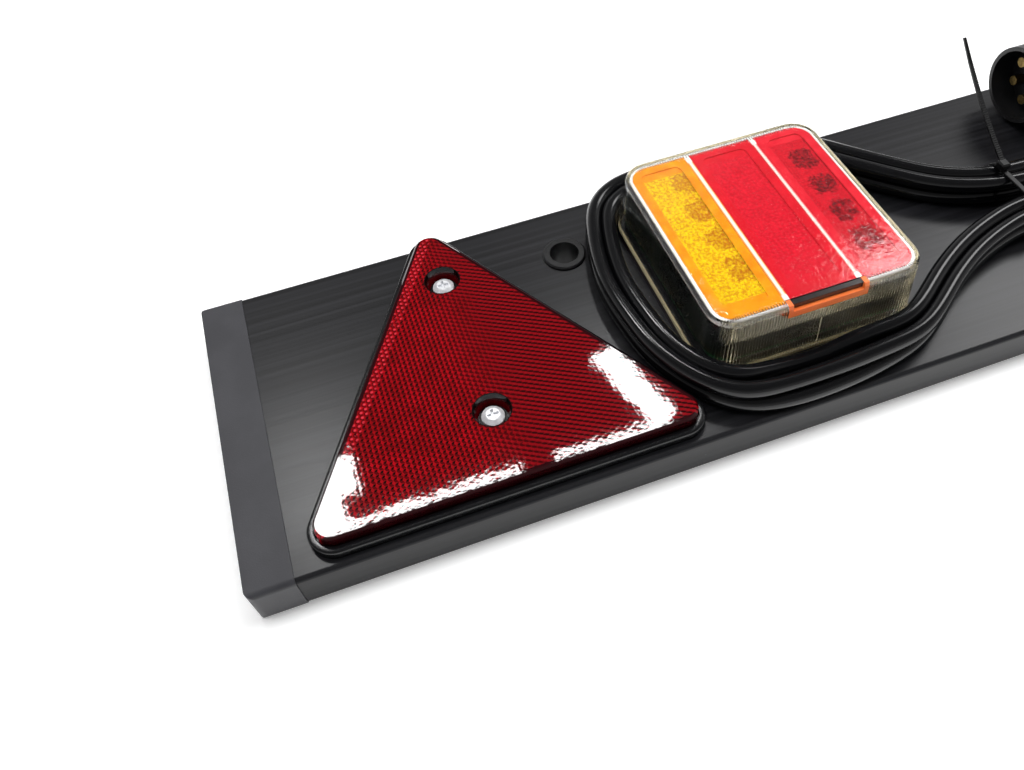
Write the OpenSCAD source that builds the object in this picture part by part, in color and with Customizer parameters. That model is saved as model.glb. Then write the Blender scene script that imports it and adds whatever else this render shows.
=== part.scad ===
// Lighting board for a towed vehicle: a hollow board with a warning triangle and a three-colour lamp
// at each end, and a supply cable that is looped round the left lamp and tied.
// Millimetres. The board lies on its back: X along it, Y across it, Z out of its face.

/* [Board] */
// Overall length with both end caps
board_l = 1220; // [1160:10:1800]
// Width of the profile
board_w = 150; // [146:1:180]
// Thickness of the profile
board_t = 20; // [18:0.5:26]
// Wall of the profile
board_wall = 2; // [1.4:0.1:3]
// Outside radius along the long edges
board_edge_r = 2; // [1:0.25:3]
// Number of lengthwise webs inside
web_count = 5; // [3:1:7]
// Thickness of a web
web_t = 1.6; // [1.2:0.1:2.4]

/* [End caps] */
// Length of a cap that shows
cap_l = 19; // [12:1:30]
// How far a cap stands proud of the profile
cap_proud = 0.5; // [0.2:0.1:1.5]
// Wall of a cap
cap_wall = 2.4; // [1.6:0.1:3.5]
// Radius of a cap's outer corners
cap_corner_r = 3.5; // [2.5:0.25:6]
// How far the tongues reach into the profile
tongue_l = 16; // [8:1:30]
// Play between a tongue and its chamber
tongue_play = 0.2; // [0.1:0.05:0.5]

/* [Mounting bushes] */
// Distance of a bush from the end of the board
bush_x = 170.7; // [160:0.1:180]
// Height of the bushes above the board's middle line
bush_y = 44.4; // [30:0.1:52]
// Bore of a bush
bush_bore_d = 14; // [10:0.5:16]
// Wall of a bush
bush_wall = 1.5; // [1.2:0.1:2.5]
// Width of a bush's flange beyond its tube
bush_flange_w = 1.8; // [1:0.1:4]
// Thickness of a bush's flange
bush_flange_t = 1.5; // [1:0.1:3]

/* [Reflectors] */
// Side of the triangle, measured to its sharp corners
refl_side = 170; // [150:1:172]
// Radius of the lens corners
refl_corner_r = 7.5; // [5:0.5:12]
// Distance of the triangle's centre from the end of the board
refl_x = 110; // [106:0.5:116]
// Height of the triangle's centre above the board's middle line
refl_y = -18.8; // [-22:0.2:-12]
// Height of the lens above the face
refl_h = 9.5; // [8:0.5:14]
// Wall of the lens
refl_wall = 2; // [1.2:0.1:3]
// Width of the tray's rim
tray_rim_w = 3.2; // [2:0.1:4]
// Height of the tray's rim
tray_rim_h = 4.6; // [3.5:0.1:6]
// Thickness of the tray's floor
tray_floor_t = 2; // [1.5:0.1:3]
// Play between the lens and the rim
tray_play = 0.3; // [0.1:0.05:0.6]
// Upper screw above the triangle's centre
refl_screw_up = 60.8; // [52:0.2:62]
// Distance between the two screws
refl_screw_pitch = 76.4; // [60:0.2:90]
// Width of a screw recess at the lens face
recess_d = 16.4; // [14:0.2:20]
// Width of a screw recess at its foot
recess_foot_d = 13; // [12.4:0.2:14]
// Height of the seat under a screw head, above the tray's floor
recess_seat_h = 1.6; // [0.8:0.1:2.4]

/* [Screws] */
// Shank of a reflector screw
screw_d = 4; // [3:0.5:5]
// Head of a reflector screw
screw_head_d = 9.8; // [8:0.2:11]
// Height of the screw head
screw_head_h = 2.6; // [2:0.1:3.5]
// Length of the shank
screw_l = 14; // [10:0.5:16]

/* [Lamps] */
// Width of a lamp along the board, at its face
lamp_w = 98; // [90:1:104]
// Length of a lamp across the board, at its face
lamp_d = 104; // [98:1:106]
// Height of a lamp above the board's face
lamp_h = 34; // [32:0.5:44]
// How much wider a lamp is at its foot, each side
lamp_flare = 2.5; // [1:0.25:3]
// Corner radius of the lamp's face
lamp_corner_r = 12; // [10:0.5:18]
// Distance of a lamp's centre from the end of the board
lamp_x = 251.3; // [248:0.1:280]
// Height of a lamp's centre above the board's middle line
lamp_y = 4.2; // [2:0.1:6]
// Thickness of the base plate
base_t = 3.5; // [2.5:0.1:5]
// Thickness of the sealing strip
seal_t = 1.2; // [0.8:0.1:2]
// Wall of the clear shell
shell_wall = 2.2; // [1.6:0.1:3]
// Width of the pale border round the filters
frame_border = 1.2; // [0.8:0.2:4]
// Width of the pale bars between the filters
frame_bar = 2.8; // [2:0.2:4]
// Depth of the frame and its filters
frame_t = 3; // [2.4:0.1:4]
// Play round a filter, and round the frame
filter_play = 0.2; // [0.1:0.05:0.4]
// Width of the amber filter
amber_w = 28.5; // [24:0.5:34]
// Width of the middle, reflex filter
reflex_w = 30.7; // [24:0.1:34]
// Flat border of a filter round its patterned panel
filter_border = 4.5; // [3:0.25:7]
// Wide end of an LED's bowl
bowl_d = 17; // [12:0.5:18]
// Narrow end of an LED's bowl
bowl_foot_d = 7; // [5:0.5:9]
// Number of LEDs behind each coloured filter
led_count = 4; // [2:1:5]
// Distance between neighbouring LEDs
led_pitch = 18.4; // [18:0.2:21]
// Length of the number-plate window
plate_window_l = 37; // [25:1:45]
// Height of the number-plate window
plate_window_h = 6.5; // [5:0.25:9]
// Distance between a lamp's two bolts
lamp_bolt_pitch = 52; // [40:1:60]

/* [Fixings] */
// Thread of the lamp bolts
bolt_d = 5; // [4:0.5:6]
// Across the flats of bolt heads and nuts
bolt_flats = 8; // [7:0.5:10]
// Height of bolt heads and nuts
bolt_head_h = 3.2; // [2.5:0.1:3.8]
// Clearance round a bolt or a screw in its hole
hole_play = 0.15; // [0.1:0.05:0.5]

/* [Wiring] */
// Diameter of the supply cable
cable_d = 7.5; // [6:0.25:8]
// Diameter of a lead inside the board
loom_d = 5; // [4:0.25:6]
// Place of the cable gland along the board, from its middle
gland_x = 36; // [30:1:60]
// Flange of the gland
gland_flange_d = 28; // [24:0.5:34]
// Reach of the gland's tapered strain relief from the gland's middle
gland_relief_l = 32; // [26:1:40]

/* [Plug] */
// Largest diameter of the plug
plug_d = 42; // [38:0.5:46]
// Outside diameter of the plug's sleeve
plug_sleeve_d = 38.5; // [34:0.5:40]
// Depth of the plug's sleeve
plug_sleeve_l = 22; // [18:0.5:26]
// Length of the grip
plug_grip_l = 36; // [28:1:44]
// Length of the cone behind the grip
plug_cone_l = 15; // [10:1:20]
// Length of the gland nut
plug_nut_l = 20; // [14:1:26]
// Diameter of the gland nut
plug_nut_d = 25; // [20:0.5:28]

/* [Cable tie] */
// Width of the tie
tie_w = 4.8; // [3.6:0.2:7.6]
// Thickness of the tie
tie_t = 1.2; // [0.8:0.1:1.6]
// Length of the tie's free tail
tie_tail_l = 64; // [40:1:90]

/* [Hidden] */
$fn = 48;

// Board, seen across its section
board_z = cap_proud;
face_z = board_z + board_t;
inside_w = board_w - 2 * board_wall;
chamber_pitch = inside_w / (web_count + 1);
chamber_w = chamber_pitch - web_t;
floor_z = board_z + board_wall;
ceiling_z = face_z - board_wall;
// Distance of the profile's end from the board's middle
extrusion_end = board_l / 2 - cap_l;
// Middle of the chamber that holds a given place across the board
function chamber_at(y) = (floor((y + inside_w / 2) / chamber_pitch) + 0.5) * chamber_pitch - inside_w / 2;

// Bushes
bush_tube_r = bush_bore_d / 2 + bush_wall;

// Reflectors: the corner circles lie this far from the triangle's centre
refl_corner_at = refl_side / sqrt(3) - 2 * refl_corner_r;
refl_screws_y = [refl_screw_up, refl_screw_up - refl_screw_pitch];
recess_tube_wall = 1.4;
lens_chamfer = 1;

// Lamps, with heights measured from the board's face
foot_w = lamp_w + 2 * lamp_flare;
foot_d = lamp_d + 2 * lamp_flare;
foot_r = lamp_corner_r + lamp_flare;
shell_z = base_t + seal_t;
frame_top = lamp_h - shell_wall;
deck_top = frame_top - frame_t;
deck_t = 1.6;
led_board_t = 1.6;
led_board_z = base_t + 4;
led_z = led_board_z + led_board_t;
led_side = 3.5;
led_h = 1.6;
post_r = 4;
opening_w = lamp_w - 2 * shell_wall - 2 * filter_play - 2 * frame_border;
opening_d = lamp_d - 2 * shell_wall - 2 * filter_play - 2 * frame_border;
stop_w = opening_w - amber_w - reflex_w - 2 * frame_bar;
amber_x = -opening_w / 2 + amber_w / 2;
reflex_x = amber_x + amber_w / 2 + frame_bar + reflex_w / 2;
stop_x = opening_w / 2 - stop_w / 2;
plate_window_depth = shell_wall + 2;
plate_frame_t = 2.2;
wire_y = chamber_at(-37);
lamp_bolt_y = chamber_at(12);

// Wiring
wire_hole_r = loom_d / 2 + 2.4;
grommet_wall = 2.2;
loom_bend_r = 10;
loom_z = floor_z + loom_d / 2;
gland_y = wire_y;
gland_spigot_r = 8;
// Straight end of the leads below the spigot
spigot_rise = 0.5;
gland_dome_r = 9.5;
gland_axis_z = face_z + 7.8;

// Hank: two layers of cable, its middle line anticlockwise from the free end, with the width there
hank_h = 2 * cable_d;
hank_line = [
    [-52, -30, 15], [-60, -10.5, 15], [-80, -2, 15], [-115, -1, 15], [-155, 1, 15], [-195, 2, 15],
    [-230, 2, 15], [-254, 12, 15], [-271, 26, 15], [-288.5, 43.5, 15], [-304.5, 60, 15],
    [-314.5, 65.8, 15], [-328, 67.5, 15], [-345, 67.5, 15], [-368, 67.5, 15], [-390, 67.4, 15],
    [-404.5, 65, 14.5], [-415.5, 56, 14], [-421, 42, 14.5], [-425, 26, 15], [-427, 8, 15],
    [-425.5, -12, 15], [-422.5, -30, 14.5], [-413.7, -48.8, 13.6], [-401, -60.5, 17], [-384, -62.8, 22],
    [-361, -63, 22.5], [-340, -62, 20], [-319, -59.8, 15.5], [-304, -51.5, 15], [-289, -41, 15],
    [-270, -30.5, 15], [-250, -23.5, 15], [-230, -20.5, 15], [-195, -24, 15], [-155, -38, 15],
    [-115, -53, 15], [-80, -58, 15], [-60, -49.5, 15]
];
// Numbers of the line's points that lie beside the lamp, and beside the free end
lamp_loop = [7, 32];
free_loop = [34, 44];
// The last turn leaves the hank on its upper layer, and the cable joins it on the lower one
turn_out = [-80, 1.75, face_z + 1.5 * cable_d];
turn_in = [-80, -61.75, face_z + 0.5 * cable_d];
stub_out_l = 21;
stub_in_l = 22;

// Routes of the cable outside the hank, from the object outwards
supply_route = [
    [4, -36.5, 28.3], [-3, -36.5, 28.3], [-10, -37.1, 28], [-18, -39.4, 27], [-26, -43.4, 25.8],
    [-33, -48, 24.9], [-40, -53.2, 24.4], [-46, -57.4, 24.3], [-52, -60.6, 24.25], [-58, -61.75, 24.25]
];
plug_route = [
    [-59, 1.75, 31.75], [-52.4, 1, 31.4], [-46, -1.2, 30.8], [-37.3, -3.8, 29.8], [-27.9, -3.6, 28.6],
    [-19, -0.6, 27.4], [-11.5, 5.1, 26.2], [-6.1, 12.7, 25.2], [-3.4, 21.7, 24.6], [-3.6, 31.1, 24.4],
    [-6.6, 40, 24.6], [-12.3, 47.5, 25.2], [-19.9, 52.9, 26.4], [-28.9, 55.6, 28.2], [-38.3, 55.4, 30.4],
    [-46.1, 53, 32.6], [-52.4, 50.8, 34.5], [-59, 50, 36.5], [-70, 50, 39.4], [-82, 50, 41.2],
    [-95, 50, 41.5], [-105, 50, 41.5], [-115, 50, 41.5]
];

// Plug, lying on the board beside the hank
plug_y = 50;
plug_z = face_z + plug_d / 2;
plug_end_x = -95;
plug_cone_x = plug_end_x - plug_nut_l;
plug_grip_x = plug_cone_x - plug_cone_l;
plug_sleeve_x = plug_grip_x - plug_grip_l;
plug_mouth_x = plug_sleeve_x - plug_sleeve_l;
plug_sleeve_wall = 2;
insert_t = 9;
pin_d = 5;
pin_circle_r = 11;

// Tie round both sides of the hank
tie_x = -230;
tie_low_y = -28.6;
tie_high_y = 10.1;
tie_top = face_z + hank_h;
tie_head = [6.5, 7.5, 5.5];
tie_tail_angle = 36;
tie_tip_l = 12;
tie_play = 0.1;

// Helpers

// Flat rectangle with round corners
module rounded_rect(w, d, r) {
    square([w - 2 * r, d], center = true);
    square([w, d - 2 * r], center = true);
    for (x = [-1, 1], y = [-1, 1])
        translate([x * (w / 2 - r), y * (d / 2 - r)]) circle(r);
}

// Upright slab with round corners
module slab(w, d, r, h) {
    linear_extrude(h) rounded_rect(w, d, r);
}

// Section in Y and Z, drawn out along X and centred on the board's middle
module along_x(l) {
    rotate([90, 0, 90]) translate([0, 0, -l / 2]) linear_extrude(l) children();
}

// Upright cylinder from one height to another
module rod(r, z0, z1) {
    translate([0, 0, z0]) cylinder(r = r, h = z1 - z0);
}

// Places a child at the left end, or its mirror at the right end
module at_end(side) {
    if (side > 0) mirror([1, 0, 0]) children();
    else children();
}

// Frame of the reflector at the left end: its centre, on the face
module at_reflector() {
    translate([-board_l / 2 + refl_x, refl_y, face_z]) children();
}

// Frame of the lamp at the left end: its centre, on the face
module at_lamp() {
    translate([-board_l / 2 + lamp_x, lamp_y, face_z]) children();
}

// Triangle with round corners, grown outwards by a margin
module triangle(grow) {
    hull()
        for (a = [90, 210, 330])
            rotate(a) translate([refl_corner_at, 0]) circle(refl_corner_r + grow, $fn = 32);
}

// Six-sided prism, by the distance across its flats
module hexagon(flats, h) {
    cylinder(r = flats / sqrt(3), h = h, $fn = 6);
}

// Smooth line through points, as a curve of the third order with steps between each two
function curve_point(a, b, c, d, t) =
    0.5 * (2 * b + (c - a) * t + (2 * a - 5 * b + 4 * c - d) * t * t + (3 * b - a - 3 * c + d) * t * t * t);
function open_curve(p, steps) = [
    for (i = [0 : len(p) - 2], j = [0 : steps - 1])
        curve_point(p[max(i - 1, 0)], p[i], p[i + 1], p[min(i + 2, len(p) - 1)], j / steps),
    p[len(p) - 1]
];
function unit(v) = v / norm(v);

// Round tube along a route that is nowhere upright
module tube(route, d, sides, steps) {
    line = open_curve(route, steps);
    n = len(line);
    rings = [
        for (i = [0 : n - 1])
            let (
                ahead = unit(line[min(i + 1, n - 1)] - line[max(i - 1, 0)]),
                level = i == 0 || i == n - 1 ? unit([sign(ahead[0]), 0, 0]) : ahead,
                side = unit(cross(level, [0, 0, 1])),
                up = cross(side, level)
            )
            for (k = [0 : sides - 1])
                line[i] + d / 2 * (cos(360 * k / sides) * side + sin(360 * k / sides) * up)
    ];
    walls = [
        for (i = [0 : n - 2], k = [0 : sides - 1])
            let (a = i * sides, b = a + sides, m = (k + 1) % sides)
            [a + k, b + k, b + m, a + m]
    ];
    ends = [
        [for (k = [0 : sides - 1]) k],
        [for (k = [sides - 1 : -1 : 0]) (n - 1) * sides + k]
    ];
    polyhedron(points = rings, faces = concat(walls, ends), convexity = 4);
}

// Hank's line between two of its points, moved sideways by a share of its half width: outwards if positive
function hank_edge(from, to, share) =
    let (n = len(hank_line), steps = 2)
    [
        for (i = [from : to - 1], j = [0 : steps - 1])
            let (
                a = hank_line[(i + n - 1) % n],
                b = hank_line[i % n],
                c = hank_line[(i + 1) % n],
                d = hank_line[(i + 2) % n],
                p = curve_point(a, b, c, d, j / steps),
                ahead = curve_point(a, b, c, d, j / steps + 0.1) - curve_point(a, b, c, d, j / steps - 0.1),
                out = unit([ahead[1], -ahead[0]])
            )
            [p[0], p[1]] + out * share * p[2] / 2
    ];

// Board

module board_section() {
    difference() {
        rounded_rect(board_w, board_t, board_edge_r);
        for (i = [0 : web_count])
            translate([-inside_w / 2 + (i + 0.5) * chamber_pitch, 0])
                square([chamber_w, board_t - 2 * board_wall], center = true);
    }
}

// Holes that the fixings of the left end need
module left_holes() {
    translate([-board_l / 2 + bush_x, bush_y]) rod(bush_tube_r + hole_play, 0, face_z + 1);
    at_reflector()
        for (y = refl_screws_y)
            translate([0, y]) rod(screw_d / 2 + hole_play, -board_wall - 1, 1);
    translate([-board_l / 2 + lamp_x, 0]) {
        for (x = [-1, 1])
            translate([x * lamp_bolt_pitch / 2, lamp_bolt_y]) {
                rod(bolt_d / 2 + hole_play, ceiling_z - 1, face_z + 1);
                rod(bolt_flats * 0.95, board_z - 1, floor_z + 1);
            }
        translate([0, wire_y]) rod(wire_hole_r + hole_play, ceiling_z - 1, face_z + 1);
    }
}

module board_extrusion() {
    color([0.13, 0.13, 0.14])
    difference() {
        translate([0, 0, board_z + board_t / 2]) along_x(2 * extrusion_end) board_section();
        left_holes();
        mirror([1, 0, 0]) left_holes();
        translate([gland_x, gland_y]) rod(gland_spigot_r + hole_play, ceiling_z - 1, face_z + 1);
    }
}

// Plan of a cap at the left end, round at its two outer corners
module cap_plan(inset) {
    w = board_w + 2 * cap_proud - 2 * inset;
    r = cap_corner_r - inset / 2;
    translate([-board_l / 2 + inset, -w / 2])
        union() {
            translate([r, 0]) square([cap_l + 1, w]);
            translate([0, r]) square([cap_l + 1, w - 2 * r]);
            for (y = [r, w - r])
                translate([r, y]) circle(r);
        }
}

module end_cap() {
    tongue_h = board_t - 2 * board_wall - 2 * tongue_play;
    tongue_w = chamber_w - 2 * tongue_play;
    tongue_wall = 1.6;
    root_x = -board_l / 2 + cap_wall;
    color([0.16, 0.16, 0.17]) {
        difference() {
            intersection() {
                linear_extrude(board_t + 2 * cap_proud) cap_plan(0);
                translate([-extrusion_end - cap_l / 2, 0, board_z + board_t / 2])
                    along_x(cap_l)
                        rounded_rect(board_w + 2 * cap_proud, board_t + 2 * cap_proud, board_edge_r + cap_proud);
            }
            translate([0, 0, cap_wall])
                linear_extrude(board_t + 2 * cap_proud - 2 * cap_wall) cap_plan(cap_wall);
        }
        for (i = [0 : web_count])
            translate([root_x, -inside_w / 2 + (i + 0.5) * chamber_pitch - tongue_w / 2,
                       floor_z + tongue_play])
                difference() {
                    translate([-0.5, 0, 0]) cube([cap_l - cap_wall + tongue_l + 0.5, tongue_w, tongue_h]);
                    translate([0, tongue_wall, tongue_wall])
                        cube([cap_l + tongue_l, tongue_w - 2 * tongue_wall, tongue_h - 2 * tongue_wall]);
                }
    }
}

module mount_bush() {
    color([0.08, 0.08, 0.09])
    translate([-board_l / 2 + bush_x, bush_y])
        difference() {
            union() {
                rod(bush_tube_r, board_z, face_z);
                rod(bush_tube_r + bush_flange_w, face_z, face_z + bush_flange_t * 0.6);
                translate([0, 0, face_z + bush_flange_t * 0.6])
                    cylinder(r1 = bush_tube_r + bush_flange_w, r2 = bush_tube_r + bush_flange_w * 0.6,
                             h = bush_flange_t * 0.4);
            }
            rod(bush_bore_d / 2, board_z - 1, face_z + bush_flange_t + 1);
        }
}

// Reflectors

module reflector_tray() {
    color([0.07, 0.07, 0.08])
    at_reflector()
        difference() {
            union() {
                difference() {
                    linear_extrude(tray_rim_h) triangle(tray_play + tray_rim_w);
                    translate([0, 0, tray_floor_t]) linear_extrude(tray_rim_h) triangle(tray_play);
                }
                for (y = refl_screws_y)
                    translate([0, y]) rod(recess_foot_d / 2 - tray_play, 0, tray_floor_t + recess_seat_h);
            }
            for (y = refl_screws_y)
                translate([0, y]) rod(screw_d / 2 + hole_play, -1, tray_rim_h + 1);
        }
}

module reflector_lens() {
    hollow_top = refl_h - refl_wall;
    color([0.55, 0.02, 0.05])
    at_reflector()
        difference() {
            union() {
                difference() {
                    hull() {
                        translate([0, 0, tray_floor_t]) linear_extrude(refl_h - tray_floor_t - lens_chamfer)
                            triangle(0);
                        translate([0, 0, refl_h - 0.1]) linear_extrude(0.1) triangle(-lens_chamfer);
                    }
                    translate([0, 0, tray_floor_t - 1])
                        linear_extrude(hollow_top - tray_floor_t + 1) triangle(-refl_wall);
                }
                for (y = refl_screws_y)
                    translate([0, y, tray_floor_t])
                        cylinder(r1 = recess_foot_d / 2 + recess_tube_wall, r2 = recess_d / 2 + recess_tube_wall,
                                 h = refl_h - tray_floor_t - 0.5);
            }
            for (y = refl_screws_y)
                translate([0, y, tray_floor_t - 1])
                    cylinder(r1 = recess_foot_d / 2, r2 = recess_d / 2, h = refl_h - tray_floor_t + 2);
        }
}

module reflector_screw() {
    seat = tray_floor_t + recess_seat_h;
    difference() {
        union() {
            rod(screw_d / 2, seat - screw_l, seat + 0.5);
            rod(screw_head_d / 2, seat, seat + screw_head_h * 0.5);
            translate([0, 0, seat + screw_head_h * 0.5])
                cylinder(r1 = screw_head_d / 2, r2 = screw_head_d * 0.3, h = screw_head_h * 0.5);
        }
        for (a = [0, 90])
            rotate(a) translate([0, 0, seat + screw_head_h])
                cube([screw_head_d * 0.5, screw_head_d * 0.12, screw_head_h], center = true);
    }
}

module reflector_screws() {
    color([0.75, 0.76, 0.78])
    for (side = [-1, 1])
        at_end(side) at_reflector()
            for (y = refl_screws_y)
                translate([0, y]) reflector_screw();
}

// Lamps

module lamp_base() {
    rib_w = foot_w - 2 * shell_wall - 2 * filter_play - 2 * lamp_flare;
    rib_d = foot_d - 2 * shell_wall - 2 * filter_play - 2 * lamp_flare;
    rib_r = lamp_corner_r - shell_wall;
    color([0.05, 0.05, 0.05])
    at_lamp()
        difference() {
            union() {
                slab(foot_w, foot_d, foot_r, base_t);
                difference() {
                    slab(rib_w, rib_d, rib_r, led_board_z - 0.5);
                    translate([0, 0, base_t - 1])
                        slab(rib_w - 4, rib_d - 4, rib_r - 2, led_board_z);
                }
                for (x = [-1, 1], y = [-1, 1])
                    translate([x * (opening_w / 2 - post_r), y * (opening_d / 2 - post_r)])
                        rod(post_r, base_t - 1, led_board_z);
            }
            translate([0, -lamp_y]) {
                for (x = [-1, 1])
                    translate([x * lamp_bolt_pitch / 2, lamp_bolt_y])
                        rod(bolt_d / 2 + hole_play, -1, base_t + 1);
                translate([0, wire_y]) rod(wire_hole_r + hole_play, -1, base_t + 1);
            }
        }
}

module lamp_seal() {
    color([0.85, 0.78, 0.6])
    at_lamp() translate([0, 0, base_t])
        difference() {
            slab(foot_w, foot_d, foot_r, seal_t);
            translate([0, 0, -1])
                slab(foot_w - 2 * shell_wall - 1, foot_d - 2 * shell_wall - 1, foot_r - shell_wall - 0.5, seal_t + 2);
        }
}

// Outside of the clear shell, or its hollow when it is drawn in by a wall
module shell_form(inset, top, edge) {
    hull() {
        translate([0, 0, shell_z - (inset > 0 ? 1 : 0)])
            slab(foot_w - 2 * inset, foot_d - 2 * inset, foot_r - inset, 0.5, $fn = 32);
        translate([0, 0, top - edge - 0.1])
            slab(lamp_w - 2 * inset, lamp_d - 2 * inset, lamp_corner_r - inset, 0.1, $fn = 32);
        translate([0, 0, top - 0.1])
            slab(lamp_w - 2 * inset - edge, lamp_d - 2 * inset - edge, lamp_corner_r - inset - edge / 2, 0.1,
                 $fn = 32);
    }
}

// Space of the number-plate window at the lamp's lower edge
module plate_notch(play) {
    translate([reflex_x - plate_window_l / 2 - play, -lamp_d / 2 - 2 * lamp_flare, lamp_h - plate_window_h - play])
        cube([plate_window_l + 2 * play, plate_window_depth + 2 * lamp_flare + play, plate_window_h + 1]);
}

module lamp_shell() {
    color([0.9, 0.92, 0.92, 0.4])
    at_lamp()
        difference() {
            shell_form(0, lamp_h, 1.6);
            shell_form(shell_wall, lamp_h - shell_wall, 0);
            plate_notch(0);
        }
}

// Opening of one filter in the frame
module filter_hole(x, w, play) {
    translate([x, 0]) square([w + 2 * play, opening_d + 2 * play], center = true);
}

module lamp_frame() {
    color([0.88, 0.88, 0.86])
    at_lamp() translate([0, 0, deck_top])
        difference() {
            linear_extrude(frame_t)
                difference() {
                    rounded_rect(opening_w + 2 * frame_border, opening_d + 2 * frame_border,
                                 lamp_corner_r - shell_wall - filter_play);
                    filter_outline(amber_x, amber_w, filter_play);
                    filter_outline(reflex_x, reflex_w, filter_play);
                    filter_outline(stop_x, stop_w, filter_play);
                }
            translate([0, 0, -deck_top]) plate_notch(0.3);
        }
}

// Outline of a filter: straight at its neighbours, and round at the lamp's corners
module filter_outline(x, w, play) {
    corner = lamp_corner_r - shell_wall - filter_play - frame_border;
    intersection() {
        filter_hole(x, w, play);
        rounded_rect(opening_w + 2 * play, opening_d + 2 * play, corner + play);
    }
}

// Filter with a flat border, a sunk panel and legs that stand on the deck
module filter(x, w) {
    at_lamp() translate([0, 0, deck_top])
        difference() {
            linear_extrude(frame_t) filter_outline(x, w, 0);
            translate([x, 0, frame_t - 0.6]) linear_extrude(1)
                rounded_rect(w - 2 * filter_border, opening_d - 2 * filter_border, 3);
            translate([x, 0, -1]) linear_extrude(frame_t - 0.8)
                rounded_rect(w - 3, opening_d - 3 - 2 * plate_window_depth, 2);
            translate([0, 0, -deck_top]) plate_notch(0.3);
        }
}

module amber_filter() { color([1, 0.6, 0.05]) filter(amber_x, amber_w); }

module reflex_filter() { color([0.85, 0.02, 0.08]) filter(reflex_x, reflex_w); }

module stop_filter() { color([0.8, 0.02, 0.06]) filter(stop_x, stop_w); }

// Places a child at each LED of both coloured fields
module at_leds() {
    for (x = [amber_x + 3, stop_x], i = [0 : led_count - 1])
        translate([x, (i - (led_count - 1) / 2) * led_pitch]) children();
}

module lamp_reflector() {
    w = opening_w + 2 * frame_border;
    d = opening_d + 2 * frame_border;
    r = lamp_corner_r - shell_wall - filter_play;
    bowl_z = led_z + led_h + 0.6;
    color([0.15, 0.14, 0.13])
    at_lamp()
        difference() {
            union() {
                difference() {
                    translate([0, 0, led_z]) slab(w, d, r, deck_top - led_z);
                    translate([0, 0, led_z - 1]) slab(w - 3, d - 3, r - 1.5, deck_top - deck_t - led_z + 1);
                }
                at_leds() translate([0, 0, bowl_z])
                    cylinder(r1 = bowl_foot_d / 2 + 1, r2 = bowl_d / 2 + 1, h = deck_top - bowl_z - 0.5);
            }
            at_leds() translate([0, 0, bowl_z - 0.01])
                cylinder(r1 = bowl_foot_d / 2, r2 = bowl_d / 2, h = deck_top - bowl_z + 0.02);
            plate_notch(0.3);
        }
}

module led_board() {
    color([0.1, 0.35, 0.2])
    at_lamp() translate([0, 0, led_board_z])
        slab(opening_w + 2 * frame_border - 1, opening_d + 2 * frame_border - 1, 8, led_board_t);
}

module leds() {
    color([0.9, 0.9, 0.75])
    at_lamp() at_leds()
        translate([-led_side / 2, -led_side / 2, led_z]) cube([led_side, led_side, led_h]);
}

// Orange surround at the foot and the ends of the number-plate window
module plate_frame() {
    color([1, 0.45, 0.2])
    at_lamp()
        difference() {
            intersection() {
                plate_notch(-0.1);
                shell_form(0, lamp_h - 0.3, 1.6);
            }
            translate([reflex_x - plate_window_l / 2 + plate_frame_t, -lamp_d,
                       lamp_h - plate_window_h + plate_frame_t + 1])
                cube([plate_window_l - 2 * plate_frame_t, 2 * lamp_d, plate_window_h]);
        }
}

module plate_pane() {
    color([0.2, 0.2, 0.2])
    at_lamp()
        translate([reflex_x - plate_window_l / 2 + plate_frame_t + 0.1, -lamp_d / 2 + 1.6,
                   lamp_h - plate_window_h + plate_frame_t + 1])
            cube([plate_window_l - 2 * plate_frame_t - 0.2, plate_window_depth - 1.8,
                  plate_window_h - plate_frame_t - 1 - 0.5]);
}

module lamp_bolts() {
    color([0.7, 0.7, 0.72])
    for (side = [-1, 1], x = [-1, 1])
        at_end(side) translate([-board_l / 2 + lamp_x + x * lamp_bolt_pitch / 2, lamp_bolt_y]) {
            rod(bolt_d / 2, ceiling_z - bolt_head_h - 2, face_z + base_t + 0.5);
            translate([0, 0, face_z + base_t]) hexagon(bolt_flats, bolt_head_h);
        }
}

module lamp_nuts() {
    color([0.65, 0.65, 0.68])
    for (side = [-1, 1], x = [-1, 1])
        at_end(side) translate([-board_l / 2 + lamp_x + x * lamp_bolt_pitch / 2, lamp_bolt_y,
                                ceiling_z - bolt_head_h])
            difference() {
                hexagon(bolt_flats, bolt_head_h);
                rod(bolt_d / 2 + 0.02, -1, bolt_head_h + 1);
            }
}

module lamp_grommets() {
    color([0.04, 0.04, 0.04])
    for (side = [-1, 1])
        at_end(side) translate([-board_l / 2 + lamp_x, wire_y])
            difference() {
                union() {
                    rod(wire_hole_r, ceiling_z, face_z + base_t);
                    rod(wire_hole_r + 1.6, face_z + base_t, face_z + base_t + 1.5);
                }
                rod(loom_d / 2 + 0.1, ceiling_z - 1, face_z + base_t + 2);
            }
}

// Wiring

// Quarter bend of a lead, from upright at its own x to level at a bend's radius along X
module loom_bend() {
    translate([loom_bend_r, 0, 0]) rotate([90, 0, 0]) rotate([0, 0, 180])
        rotate_extrude(angle = 90) translate([loom_bend_r, 0]) circle(loom_d / 2);
}

// Lead that comes down from a lamp, runs along the chamber and rises into the gland
module loom(lamp_end, gland_end) {
    turn_z = loom_z + loom_bend_r;
    run = gland_end - lamp_end;
    translate([lamp_end, wire_y]) {
        rod(loom_d / 2, turn_z, face_z + led_board_z);
        mirror([run < 0 ? 1 : 0, 0, 0]) {
            translate([0, 0, turn_z]) loom_bend();
            translate([loom_bend_r, 0, loom_z])
                rotate([0, 90, 0]) cylinder(r = loom_d / 2, h = abs(run) - 2 * loom_bend_r);
            translate([abs(run), 0, turn_z]) {
                mirror([1, 0, 0]) loom_bend();
                cylinder(r = loom_d / 2, h = spigot_rise);
            }
        }
    }
}

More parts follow.
